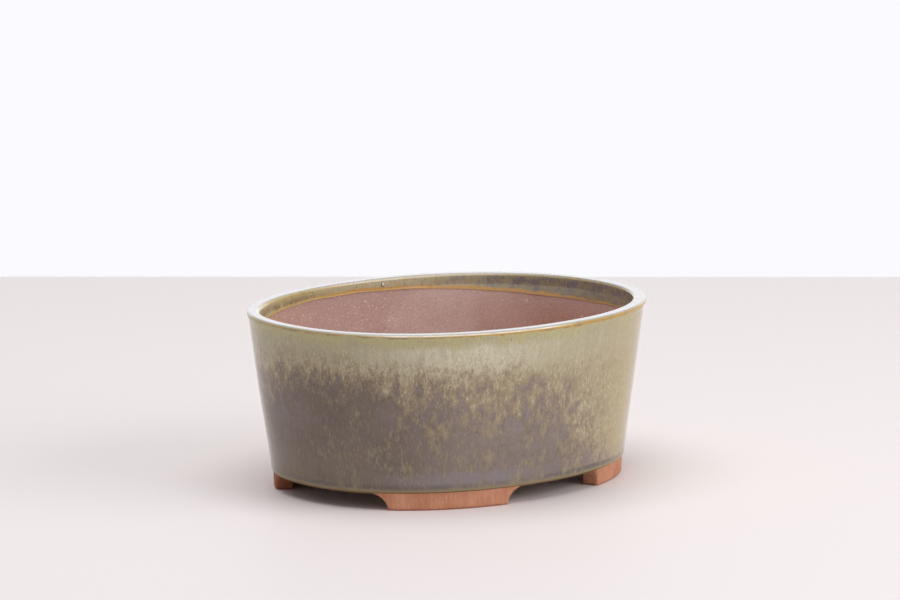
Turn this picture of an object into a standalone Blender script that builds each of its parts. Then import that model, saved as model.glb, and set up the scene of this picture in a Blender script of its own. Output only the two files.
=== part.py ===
# Oval stoneware pot for a small tree: a tapered wall on four feet, glazed outside and round the rim.
# Metres, Z up. X runs along the oval, and the origin is on the table under its middle.
# An inset is a distance into the pot, measured square to the outline of the rim.

import math

import bmesh
import bpy
from mathutils import Matrix, Vector

# Overall sizes, over the glaze
RIM_LENGTH = 0.170
RIM_WIDTH = 0.136
HEIGHT = 0.070
OVAL_POWER = 2.11  # 2 is an ellipse, and more fills out its corners
BASE_INSET = 0.0087  # how far the wall draws in from the rim to the foot

# Rim, over the glaze
RIM_THICKNESS = 0.0054
LIP_OVERHANG = 0.0005  # how far the rim stands out from the line of the wall
LIP_DROP = 0.0020  # height of the slope under the rounded edge, back to the wall
STRIP_SKIRT = 0.0008  # how far the rim's clay strip reaches below that slope
CLAY_EDGE_ROUND = 0.0004

# Glaze
GLAZE_THICKNESS = 0.0005
GLAZE_MARGIN = 0.0005  # bare clay left above the underside
INNER_GLAZE_DEPTH = 0.0065  # height of the glazed band inside

# Wall and floor
WALL_THICKNESS = 0.0040
FLOOR_THICKNESS = 0.0050
SEAM_BEVEL = 0.0030  # groove along the floor's upper edge, which the coil fills
COIL_HEIGHT = 0.0045
DRAIN_HOLE_DIAMETER = 0.0140
DRAIN_HOLE_SPACING = 0.0600
WIRE_HOLE_DIAMETER = 0.0035
WIRE_HOLE_SPACING_X = 0.0900
WIRE_HOLE_SPACING_Y = 0.0400

# Feet, at the table
FOOT_HEIGHT = 0.0065
FOOT_THICKNESS = 0.0072
FOOT_TAPER = 0.0003
FOOT_END_RADIUS = 0.0080  # cove at each end of a foot, which runs into the underside
SIDE_GAP = 0.0510  # between the feet of one long side
SIDE_GAP_SHIFT = 0.0020  # along X, as the gaps were cut by hand
END_GAP = 0.0604
END_GAP_SHIFT = -0.0018  # along Y

# Clearances
JOINT_GAP = 0.0003  # between pieces that touch
COIL_TIP_GAP = 0.0009  # under the coil, in the narrow bottom of its groove

# Fineness of the round shapes
OVAL_POINTS = 80
FOOT_POINTS = 14
EDGE_STEPS = 2
COVE_STEPS = 6
HOLE_POINTS = 32
SHARP_ANGLE = 35  # degrees
WELD_DISTANCE = 0.000001

# Each foot is swept this many cove lengths past its corner, then cut off by a plate this many long
SWEEP_SPARE = 1.2
CUTTER_REACH = 2.0

# What follows from the sizes
COAT = GLAZE_THICKNESS + JOINT_GAP
EDGE_ROUND = CLAY_EDGE_ROUND + COAT
GLAZE_LINE = FOOT_HEIGHT + GLAZE_MARGIN
LIP_ROOT = HEIGHT - EDGE_ROUND - LIP_DROP
STRIP_BOTTOM = LIP_ROOT - STRIP_SKIRT
WALL_TOP = STRIP_BOTTOM - JOINT_GAP
BAND_BOTTOM = HEIGHT - INNER_GLAZE_DEPTH
FLOOR_TOP = FOOT_HEIGHT + FLOOR_THICKNESS


def oval_point(angle, inset=0.0):
    # The outline at this angle, and its unit normal, which points out of the pot
    cosine = math.cos(angle)
    sine = math.sin(angle)
    along = math.copysign(abs(cosine) ** (2 / OVAL_POWER), cosine)
    across = math.copysign(abs(sine) ** (2 / OVAL_POWER), sine)
    slope_x = math.copysign(abs(along) ** (OVAL_POWER - 1), cosine) / RIM_LENGTH
    slope_y = math.copysign(abs(across) ** (OVAL_POWER - 1), sine) / RIM_WIDTH
    normal = Vector((slope_x, slope_y, 0.0)).normalized()
    return Vector((along * RIM_LENGTH / 2, across * RIM_WIDTH / 2, 0.0)) - normal * inset, normal


def angle_at(axis, reach, inset):
    # The angle in the first quarter where the inset outline lies this far out along X (0) or Y (1)
    near, far = (math.pi / 2, 0.0) if axis == 0 else (0.0, math.pi / 2)
    halvings = 40
    for _ in range(halvings):
        middle = (near + far) / 2
        if oval_point(middle, inset)[0][axis] < reach:
            near = middle
        else:
            far = middle
    return (near + far) / 2


def angle_step(angle, distance, inset):
    # The turn that moves a point this far along the inset outline, near this angle
    small_turn = 0.01
    moved = oval_point(angle + small_turn, inset)[0] - oval_point(angle, inset)[0]
    return small_turn * distance / moved.length


def outer_clay(height):
    # Inset of the clay's outer face, on a straight line from the foot to the rim
    share = (HEIGHT - height) / (HEIGHT - GLAZE_LINE)
    return LIP_OVERHANG + (BASE_INSET - LIP_OVERHANG) * share + COAT


def inner_clay(height):
    # Inset of the clay's inner face
    top = RIM_THICKNESS - COAT
    bottom = outer_clay(FOOT_HEIGHT) + WALL_THICKNESS
    return top + (bottom - top) * (HEIGHT - height) / (HEIGHT - FOOT_HEIGHT)


def rim_line(depth):
    # Section over the rim, from the lip's root to the inner edge, this deep under the glazed surface
    points = [(outer_clay(LIP_ROOT) - COAT + depth, LIP_ROOT)]
    for centre, start in ((EDGE_ROUND, 180), (RIM_THICKNESS - EDGE_ROUND, 90)):
        for step in range(EDGE_STEPS + 1):
            turn = math.radians(start - 90 * step / EDGE_STEPS)
            radius = EDGE_ROUND - depth
            points.append(
                (centre + radius * math.cos(turn), HEIGHT - EDGE_ROUND + radius * math.sin(turn))
            )
    return points


def coat_line(depth):
    # Section along the whole coat of glaze, from the foot over the rim to the band's lower edge inside
    start = (outer_clay(GLAZE_LINE) - COAT + depth, GLAZE_LINE)
    end = (inner_clay(BAND_BOTTOM) + COAT - depth, BAND_BOTTOM)
    return [start, *rim_line(depth), end]


def clear_scene():
    for obj in list(bpy.data.objects):
        bpy.data.objects.remove(obj, do_unlink=True)


def new_collection(name):
    collection = bpy.data.collections.new(name)
    bpy.context.scene.collection.children.link(collection)
    return collection


def new_material(name, colour, roughness, coat=0.0):
    material = bpy.data.materials.new(name)
    material.use_nodes = True
    shader = material.node_tree.nodes["Principled BSDF"]
    shader.inputs["Base Color"].default_value = (*colour, 1.0)
    shader.inputs["Roughness"].default_value = roughness
    shader.inputs["Metallic"].default_value = 0.0
    shader.inputs["Coat Weight"].default_value = coat
    material.diffuse_color = (*colour, 1.0)
    return material


def curve_object(name, points, cyclic):
    curve = bpy.data.curves.new(name, "CURVE")
    curve.dimensions = "2D"
    curve.fill_mode = "NONE"
    spline = curve.splines.new("POLY")
    spline.points.add(len(points) - 1)
    for target, point in zip(spline.points, points):
        target.co = (point[0], point[1], 0.0, 1.0)
    spline.use_cyclic_u = cyclic
    obj = bpy.data.objects.new(name, curve)
    bpy.context.scene.collection.objects.link(obj)
    return obj


def mesh_from_curve(curve_obj, name, collection, origin):
    # A closed mesh of the curve, with its caps welded and its own origin
    graph = bpy.context.evaluated_depsgraph_get()
    mesh = bpy.data.meshes.new_from_object(curve_obj.evaluated_get(graph))
    mesh.name = name
    bpy.data.objects.remove(curve_obj, do_unlink=True)
    shape = bmesh.new()
    shape.from_mesh(mesh)
    bmesh.ops.remove_doubles(shape, verts=shape.verts, dist=WELD_DISTANCE)
    bmesh.ops.recalc_face_normals(shape, faces=shape.faces)
    if shape.calc_volume(signed=True) < 0.0:
        bmesh.ops.reverse_faces(shape, faces=shape.faces)
    bmesh.ops.translate(shape, verts=shape.verts, vec=-Vector(origin))
    return place(shape, mesh, name, collection, origin)


def place(shape, mesh, name, collection, origin):
    shape.to_mesh(mesh)
    shape.free()
    mesh.shade_smooth()
    mesh.set_sharp_from_angle(angle=math.radians(SHARP_ANGLE))
    obj = bpy.data.objects.new(name, mesh)
    obj.location = origin
    collection.objects.link(obj)
    return obj


def sweep(name, section, path, cyclic, collection, origin):
    # The section, in insets and heights, carried along a stretch of the rim's outline
    profile = curve_object(name + "_section", section, cyclic=True)
    rail = curve_object(name + "_rail", path, cyclic)
    rail.data.bevel_mode = "OBJECT"
    rail.data.bevel_object = profile
    rail.data.use_fill_caps = not cyclic
    obj = mesh_from_curve(rail, name, collection, origin)
    bpy.data.objects.remove(profile, do_unlink=True)
    return obj


def ring(name, section, collection):
    # A sweep right round the pot, with its origin on the pot's axis at the section's lowest point
    path = [oval_point(2 * math.pi * step / OVAL_POINTS)[0] for step in range(OVAL_POINTS)]
    origin = (0.0, 0.0, min(height for _, height in section))
    return sweep(name, section, path, True, collection, origin)


def cut(obj, cutter):
    cutter.hide_render = True
    cutter.display_type = "WIRE"
    boolean = obj.modifiers.new(cutter.name, "BOOLEAN")
    boolean.operation = "DIFFERENCE"
    boolean.solver = "EXACT"
    boolean.object = cutter


def wall_ring(collection):
    section = [
        (outer_clay(FOOT_HEIGHT), FOOT_HEIGHT),
        (inner_clay(FOOT_HEIGHT), FOOT_HEIGHT),
        (inner_clay(WALL_TOP), WALL_TOP),
        (outer_clay(WALL_TOP), WALL_TOP),
    ]
    return ring("wall_ring", section, collection)


def rim_ring(collection):
    bottom = [(inner_clay(STRIP_BOTTOM), STRIP_BOTTOM), (outer_clay(STRIP_BOTTOM), STRIP_BOTTOM)]
    return ring("rim_ring", rim_line(COAT) + bottom, collection)


def glaze_coat(collection):
    inside = coat_line(GLAZE_THICKNESS)
    inside.reverse()
    return ring("glaze_coat", coat_line(0.0) + inside, collection)


def floor_slab(collection, cutters):
    # A plate inside the foot of the wall, with its upper edge bevelled and its holes cut through
    inset = inner_clay(FOOT_HEIGHT) + JOINT_GAP
    shape = bmesh.new()
    bmesh.ops.create_circle(shape, cap_ends=True, segments=OVAL_POINTS, radius=1.0)
    for vertex in shape.verts:
        vertex.co = oval_point(math.atan2(vertex.co.y, vertex.co.x), inset)[0]
    raised = bmesh.ops.extrude_face_region(shape, geom=list(shape.faces))["geom"]
    lifted = [item for item in raised if isinstance(item, bmesh.types.BMVert)]
    top = [item for item in raised if isinstance(item, bmesh.types.BMFace)]
    bmesh.ops.translate(shape, verts=lifted, vec=(0.0, 0.0, FLOOR_THICKNESS - SEAM_BEVEL))
    bmesh.ops.recalc_face_normals(shape, faces=shape.faces)
    bmesh.ops.inset_region(
        shape, faces=top, thickness=SEAM_BEVEL, depth=SEAM_BEVEL, use_even_offset=True
    )
    mesh = bpy.data.meshes.new("floor_slab")
    slab = place(shape, mesh, "floor_slab", collection, (0.0, 0.0, FOOT_HEIGHT))
    drain_places = [(side * DRAIN_HOLE_SPACING / 2, 0.0) for side in (-1, 1)]
    wire_places = [
        (side * WIRE_HOLE_SPACING_X / 2, end * WIRE_HOLE_SPACING_Y / 2)
        for side in (-1, 1)
        for end in (-1, 1)
    ]
    for kind, diameter, places in (
        ("drain_hole", DRAIN_HOLE_DIAMETER, drain_places),
        ("wire_hole", WIRE_HOLE_DIAMETER, wire_places),
    ):
        for number, (x, y) in enumerate(places, 1):
            cut(slab, hole_cutter(f"{kind}_{number}", diameter, x, y, cutters))
    return slab


def hole_cutter(name, diameter, x, y, cutters):
    shape = bmesh.new()
    bmesh.ops.create_cone(
        shape,
        cap_ends=True,
        segments=HOLE_POINTS,
        radius1=diameter / 2,
        radius2=diameter / 2,
        depth=2 * FLOOR_THICKNESS,
    )
    middle = FOOT_HEIGHT + FLOOR_THICKNESS / 2
    return place(shape, bpy.data.meshes.new(name), name, cutters, (x, y, middle))


def seam_coil(collection):
    # Fills the groove beside the floor's bevel, then curves up the wall
    slab_inset = inner_clay(FOOT_HEIGHT) + JOINT_GAP
    diagonal_gap = JOINT_GAP * math.sqrt(2)
    groove_bottom = FLOOR_TOP - SEAM_BEVEL
    low = groove_bottom + COIL_TIP_GAP
    toe = slab_inset + SEAM_BEVEL - diagonal_gap
    section = [
        (inner_clay(low) + JOINT_GAP, low),
        (slab_inset + low - groove_bottom - diagonal_gap, low),
    ]
    top = FLOOR_TOP + COIL_HEIGHT
    reach = toe - inner_clay(top) - JOINT_GAP
    for step in range(COVE_STEPS + 1):
        turn = math.pi / 2 * step / COVE_STEPS
        section.append(
            (toe - reach * math.sin(turn), FLOOR_TOP + COIL_HEIGHT * (1 - math.cos(turn)))
        )
    return ring("seam_coil", section, collection)


def cove_length():
    # From a foot's corner at the table to where its end cove meets the underside
    centre_drop = max(FOOT_END_RADIUS - FOOT_HEIGHT, 0.0)
    return math.sqrt(FOOT_END_RADIUS**2 - centre_drop**2)


def cove_cutter(name, angle, towards, side, end, cutters):
    # The gap beside a foot: a plate square to the wall, with the cove as its edge
    corner, normal = oval_point(angle, outer_clay(FOOT_HEIGHT) + FOOT_TAPER)
    corner = Vector((corner.x * side, corner.y * end, 0.0))
    normal = Vector((normal.x * side, normal.y * end, 0.0))
    along = Vector((-normal.y, normal.x, 0.0)) * towards * side * end
    length = cove_length()
    centre_height = FOOT_HEIGHT - FOOT_END_RADIUS
    lowest = min(centre_height, 0.0) - FOOT_HEIGHT
    outline = [(CUTTER_REACH * length, lowest), (CUTTER_REACH * length, FOOT_HEIGHT)]
    for step in range(COVE_STEPS + 1):
        turn = math.radians(90 + 90 * step / COVE_STEPS)
        across = length + FOOT_END_RADIUS * math.cos(turn)
        outline.append((across, centre_height + FOOT_END_RADIUS * math.sin(turn)))
    outline.append((length - FOOT_END_RADIUS, lowest))
    plate = curve_object(name, outline, cyclic=True)
    plate.data.fill_mode = "BOTH"
    plate.data.extrude = FOOT_THICKNESS
    cutter = mesh_from_curve(plate, name, cutters, (0.0, 0.0, 0.0))
    up = Vector((0.0, 0.0, 1.0))
    cutter.rotation_euler = Matrix((along, up, along.cross(up))).transposed().to_euler()
    cutter.location = corner - normal * FOOT_THICKNESS / 2
    return cutter


def foot(name, side, end, collection, cutters):
    # One quarter of the foot line, with side and end as the signs of X and Y
    outer = outer_clay(FOOT_HEIGHT)
    inner = outer + FOOT_THICKNESS
    top = FOOT_HEIGHT - JOINT_GAP
    section = [(outer, top), (outer + FOOT_TAPER, 0.0), (inner, 0.0), (inner, top)]
    corner_inset = outer + FOOT_TAPER
    at_side = angle_at(0, SIDE_GAP / 2 + side * SIDE_GAP_SHIFT, corner_inset)
    at_end = angle_at(1, END_GAP / 2 + end * END_GAP_SHIFT, corner_inset)
    spare = SWEEP_SPARE * cove_length()
    first = at_end - angle_step(at_end, spare, corner_inset)
    last = at_side + angle_step(at_side, spare, corner_inset)
    path = []
    for step in range(FOOT_POINTS + 1):
        point = oval_point(first + (last - first) * step / FOOT_POINTS)[0]
        path.append(Vector((point.x * side, point.y * end, 0.0)))
    if side * end > 0:  # an open rail takes its insets on the right
        path.reverse()
    middle = oval_point((first + last) / 2, (outer + inner) / 2)[0]
    origin = (middle.x * side, middle.y * end, 0.0)
    obj = sweep(name, section, path, False, collection, origin)
    cut(obj, cove_cutter(name + "_side_cove", at_side, 1, side, end, cutters))
    cut(obj, cove_cutter(name + "_end_cove", at_end, -1, side, end, cutters))
    return obj


def main():
    clear_scene()
    pot = new_collection("oval_bonsai_pot")
    cutters = new_collection("cutters")
    bare_clay = new_material("bare_clay", (0.36, 0.22, 0.18), 0.85)
    foot_clay = new_material("foot_clay", (0.46, 0.18, 0.09), 0.80)
    glaze = new_material("olive_glaze", (0.30, 0.27, 0.16), 0.15, coat=0.6)
    pieces = [
        (wall_ring(pot), bare_clay),
        (rim_ring(pot), bare_clay),
        (seam_coil(pot), bare_clay),
        (floor_slab(pot, cutters), bare_clay),
        (glaze_coat(pot), glaze),
    ]
    for end, depth in ((-1, "front"), (1, "back")):
        for side, hand in ((-1, "left"), (1, "right")):
            pieces.append((foot(f"foot_{depth}_{hand}", side, end, pot, cutters), foot_clay))
    table_point = bpy.data.objects.new("pot_origin", None)
    pot.objects.link(table_point)
    for obj, material in pieces:
        obj.data.materials.clear()
        obj.data.materials.append(material)
        obj.parent = table_point


main()
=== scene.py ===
import bisect
import math

import bmesh
import bpy
from mathutils import Matrix, Vector, noise


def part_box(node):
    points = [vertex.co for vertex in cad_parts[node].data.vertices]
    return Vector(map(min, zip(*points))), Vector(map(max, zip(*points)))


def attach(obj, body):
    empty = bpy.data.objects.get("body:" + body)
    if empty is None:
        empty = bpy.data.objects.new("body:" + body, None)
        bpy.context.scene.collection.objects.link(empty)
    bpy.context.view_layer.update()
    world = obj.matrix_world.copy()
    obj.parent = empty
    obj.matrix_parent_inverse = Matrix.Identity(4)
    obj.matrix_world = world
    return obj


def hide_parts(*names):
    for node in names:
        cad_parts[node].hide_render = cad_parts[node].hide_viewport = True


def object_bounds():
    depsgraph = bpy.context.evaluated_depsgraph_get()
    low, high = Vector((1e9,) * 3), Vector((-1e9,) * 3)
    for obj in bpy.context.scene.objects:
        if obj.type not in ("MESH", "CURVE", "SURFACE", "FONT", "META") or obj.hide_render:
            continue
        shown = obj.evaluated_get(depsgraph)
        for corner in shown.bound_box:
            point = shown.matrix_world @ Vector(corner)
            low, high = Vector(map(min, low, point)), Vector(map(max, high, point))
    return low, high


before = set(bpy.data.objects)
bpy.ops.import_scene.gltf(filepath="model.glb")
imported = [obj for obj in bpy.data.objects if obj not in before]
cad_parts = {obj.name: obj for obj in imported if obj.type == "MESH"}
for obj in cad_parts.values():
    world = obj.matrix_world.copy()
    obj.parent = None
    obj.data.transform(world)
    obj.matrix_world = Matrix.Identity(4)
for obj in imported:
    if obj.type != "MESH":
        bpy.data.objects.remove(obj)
cadLow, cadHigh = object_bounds()
mm = 0.001
weldDistance = 0.002 * mm
print("frame loaded:", ", ".join(sorted(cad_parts)))


# the pot's plan and section, as the solids have them
plan = dict(
    power=2.11,  # 2 is an ellipse, and more fills out its corners
    halfLength=(cadHigh.x - cadLow.x) / 2,
    halfWidth=(cadHigh.y - cadLow.y) / 2,
)
section = dict(
    top=cadHigh.z,
    glazeLine=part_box("glaze_coat")[0].z,
    underside=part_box("floor_slab")[0].z,
    floorTop=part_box("floor_slab")[1].z,
    coilTop=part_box("seam_coil")[1].z,
    wallTop=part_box("wall_ring")[1].z,
    baseInset=8.7 * mm,  # how far the glazed wall draws in from the rim to its lower edge
    lipOverhang=0.5 * mm,
    lipDrop=2.0 * mm,
    rimThickness=5.4 * mm,
    edgeRound=1.2 * mm,
    glazeDepth=0.55 * mm,
    clayStep=0.8 * mm,  # how far the wall's bare face lies back from a glazed one
    wallThickness=4.0 * mm,
)
section["lipRoot"] = section["top"] - section["edgeRound"] - section["lipDrop"]


def ovalPoint(angle, inset=0.0):
    # a point of the plan, moved in square to the outline, and the outward normal there
    cosine, sine = math.cos(angle), math.sin(angle)
    along = math.copysign(abs(cosine) ** (2 / plan["power"]), cosine)
    across = math.copysign(abs(sine) ** (2 / plan["power"]), sine)
    slopeX = math.copysign(abs(along) ** (plan["power"] - 1), cosine) / plan["halfLength"]
    slopeY = math.copysign(abs(across) ** (plan["power"] - 1), sine) / plan["halfWidth"]
    normal = Vector((slopeX, slopeY, 0)).normalized()
    point = Vector((along * plan["halfLength"], across * plan["halfWidth"], 0))
    return point - normal * inset, normal


def outerInset(height):
    # the glazed outer face, a straight slope from the rim to the glaze's lower edge
    share = (section["top"] - height) / (section["top"] - section["glazeLine"])
    return section["lipOverhang"] + (section["baseInset"] - section["lipOverhang"]) * share


def innerInset(height):
    # the bare inner face
    top = section["rimThickness"] - section["clayStep"]
    bottom = outerInset(section["underside"]) + section["clayStep"] + section["wallThickness"]
    share = (section["top"] - height) / (section["top"] - section["underside"])
    return top + (bottom - top) * share


# the left end, seen from the front, came out a little wider than the right one
leftEnd = dict(angle=141, halfSpread=36, reach=0.7 * mm)


def degreesFrom(middle, angle):
    # how far round the pot the angle lies from the middle, from -180 to 180
    return (math.degrees(angle) - middle + 180) % 360 - 180


def leftShare(angle):
    # 1 at the left end, 0 away from it
    offset = degreesFrom(leftEnd["angle"], angle)
    return math.cos(math.pi / 2 * min(1.0, abs(offset) / leftEnd["halfSpread"])) ** 2


def ringPoint(angle, inset, height):
    # a point of the wall or the rim, wider at the left end
    share = (height - section["coilTop"]) / (section["top"] - section["coilTop"])
    share = min(max(share, 0.0), 1.0)
    point = ovalPoint(angle, inset - leftEnd["reach"] * leftShare(angle) * share * (2 - share))[0]
    return (point.x, point.y, height)


def wave(angle, height, size, seed):
    # smooth hand-made unevenness, from -1 to 1, with bumps of this size
    point = ovalPoint(angle)[0] / size
    return noise.noise(Vector((point.x + seed, point.y - seed, height / size)))


def roundAngles(count):
    return [2 * math.pi * turn / count for turn in range(count)]


def quarter(steps):
    # the angle, sine and cosine at even steps through a quarter turn
    angles = [math.radians(90 * step / steps) for step in range(steps + 1)]
    return [(angle, math.sin(angle), math.cos(angle)) for angle in angles]


def loftMesh(name, rows, values=None, endCaps=False, closedRound=True):
    # joins rows of points into a skin. A row is one closed section
    shape = bmesh.new()
    layers = {}
    for key in (values[0][0] if values else ()):
        layers[key] = shape.verts.layers.float.new(key)
    grid = []
    for rowNumber, row in enumerate(rows):
        line = []
        for pointNumber, point in enumerate(row):
            vertex = shape.verts.new(point)
            for key, layer in layers.items():
                vertex[layer] = values[rowNumber][pointNumber][key]
            line.append(vertex)
        grid.append(line)
    count = len(grid[0])
    pairs = list(zip(grid, grid[1:] + grid[:1]))
    for here, there in pairs if closedRound else pairs[:-1]:
        for k in range(count):
            n = (k + 1) % count
            shape.faces.new((here[k], there[k], there[n], here[n]))
    if endCaps:
        shape.faces.new(list(reversed(grid[0])))
        shape.faces.new(grid[-1])
    return finishMesh(name, shape)


def smooth(mesh, sharpAngle=40):
    mesh.shade_smooth()
    mesh.set_sharp_from_angle(angle=math.radians(sharpAngle))


def addObject(name, data):
    made = bpy.data.objects.new(name, data)
    bpy.context.scene.collection.objects.link(made)
    return made


def finishMesh(name, shape, sharpAngle=40):
    bmesh.ops.remove_doubles(shape, verts=shape.verts, dist=weldDistance)
    bmesh.ops.recalc_face_normals(shape, faces=shape.faces)
    if shape.calc_volume(signed=True) < 0:
        bmesh.ops.reverse_faces(shape, faces=shape.faces)
    mesh = bpy.data.meshes.new(name)
    shape.to_mesh(mesh)
    shape.free()
    smooth(mesh, sharpAngle)
    return addObject(name, mesh)


# shader sums

class Wire:
    # a socket that takes part in sums: each sum on it adds a Math node
    def __init__(self, socket):
        self.socket = socket
        self.tree = socket.id_data

    def node(self, kind, settings=None, sockets=None, output=0):
        made = self.tree.nodes.new(kind)
        for key, value in (settings or {}).items():
            if key == "stops":
                fillRamp(made.color_ramp, value)
            else:
                setattr(made, key, value)
        for key, value in (sockets or {}).items():
            if isinstance(value, Wire):
                self.tree.links.new(value.socket, made.inputs[key])
            else:
                made.inputs[key].default_value = value
        return Wire(made.outputs[output])

    def sum(self, operation, first, second=0.0):
        return self.node("ShaderNodeMath", {"operation": operation}, {0: first, 1: second})

    def __add__(self, other):
        return self.sum("ADD", self, other)

    __radd__ = __add__

    def __sub__(self, other):
        return self.sum("SUBTRACT", self, other)

    def __rsub__(self, other):
        return self.sum("SUBTRACT", other, self)

    def __mul__(self, other):
        return self.sum("MULTIPLY", self, other)

    __rmul__ = __mul__

    def __truediv__(self, other):
        return self.sum("DIVIDE", self, other)

    def __rtruediv__(self, other):
        return self.sum("DIVIDE", other, self)

    def least(self, other):
        return self.sum("MINIMUM", self, other)

    def most(self, other):
        return self.sum("MAXIMUM", self, other)

    def rise(self, low, high):
        # 0 below low, 1 above high, and a soft step between them. low may be the larger
        settings = {"interpolation_type": "SMOOTHSTEP", "clamp": True}
        turned = low > high
        ends = {1: high, 2: low, 3: 1.0, 4: 0.0} if turned else {1: low, 2: high, 3: 0.0, 4: 1.0}
        return self.node("ShaderNodeMapRange", settings, {0: self, **ends})

    def bump(self, middle, half, soft):
        # 1 within half of the middle, and 0 outside
        distance = self.sum("ABSOLUTE", self - middle)
        return distance.rise(half + soft, half)

    def vector(self, operation, other=(0, 0, 0), output=0):
        return self.node("ShaderNodeVectorMath", {"operation": operation}, {0: self, 1: other}, output)

    def scaled(self, factors):
        return self.vector("MULTIPLY", factors)

    def moved(self, offset):
        return self.vector("ADD", offset)

    def dot(self, direction):
        return self.vector("DOT_PRODUCT", direction, 1)

    def spaced(self, size, seed, stretch=1.0):
        # this vector counted in sizes, drawn out upwards and moved on by the seed
        return self.scaled((1 / size, 1 / size, 1 / size / stretch)).moved((seed, seed, seed))

    def grain(self, size, detail=2.0, roughness=0.55, stretch=1.0, seed=0.0):
        # noise from 0 to 1, with features of this size
        place = self.spaced(size, seed, stretch)
        sockets = {"Vector": place, "Scale": 1.0, "Detail": detail, "Roughness": roughness}
        return self.node("ShaderNodeTexNoise", {"noise_dimensions": "3D"}, sockets)

    def cells(self, size, output, seed):
        # Voronoi cells of this size: output 0 is the distance to a cell's point, 1 its colour
        sockets = {"Vector": self.spaced(size, seed), "Scale": 1.0}
        return self.node("ShaderNodeTexVoronoi", {}, sockets, output)

    def mixed(self, first, second):
        # the second colour where this mask is 1
        settings = {"data_type": "RGBA", "blend_type": "MIX", "clamp_factor": True}
        return self.node("ShaderNodeMix", settings, {0: self, 6: first, 7: second}, 2)


def fillRamp(ramp, stops):
    while len(ramp.elements) < len(stops):
        ramp.elements.new(0.5)
    for element, (position, colour) in zip(ramp.elements, stops):
        element.position = position
        element.color = colour


def rgb(red, green, blue):
    # a colour as a paint program shows it, for a shader
    linear = []
    for part in (red, green, blue):
        part /= 255
        linear.append(part / 12.92 if part <= 0.04045 else ((part + 0.055) / 1.055) ** 2.4)
    return (*linear, 1.0)


def startMaterial(name, *settings):
    material = bpy.data.materials.new(name)
    material.use_nodes = True
    shader = material.node_tree.nodes["Principled BSDF"]
    for key, value in settings:
        shader.inputs[key].default_value = value
    start = Wire(material.node_tree.nodes.new("ShaderNodeTexCoord").outputs["Object"])
    return material, shader, start.scaled((1 / mm, 1 / mm, 1 / mm))  # places in millimetres


def heightOf(place):
    return place.node("ShaderNodeSeparateXYZ", {}, {0: place}, 2)


def onPlan(place):
    # the place on the plan, with the rim at 1 along both axes
    return place.scaled((mm / plan["halfLength"], mm / plan["halfWidth"], 0))


def heading(place):
    # the direction round the pot, as a unit vector
    return onPlan(place).vector("NORMALIZE")


def toward(degrees):
    return (math.cos(math.radians(degrees)), math.sin(math.radians(degrees)), 0)


def sideMask(facing, degrees, low, high):
    # the pot's side that faces this way, from the cosines where the mask starts and is full
    return facing.dot(toward(degrees)).rise(low, high)


def carried(place, name):
    # a value that the mesh carries
    return place.node("ShaderNodeAttribute", {"attribute_name": name}, {}, "Fac")


def finishShader(shader, color, roughness, relief, strength, distance):
    sockets = {"Strength": strength, "Distance": distance, "Height": relief}
    normal = relief.node("ShaderNodeBump", {}, sockets)
    for name, wire in (("Base Color", color), ("Roughness", roughness), ("Normal", normal)):
        wire.tree.links.new(wire.socket, shader.inputs[name])


# the glaze: sage over the top of the wall, mauve brown low down, amber where it is thin

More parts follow.
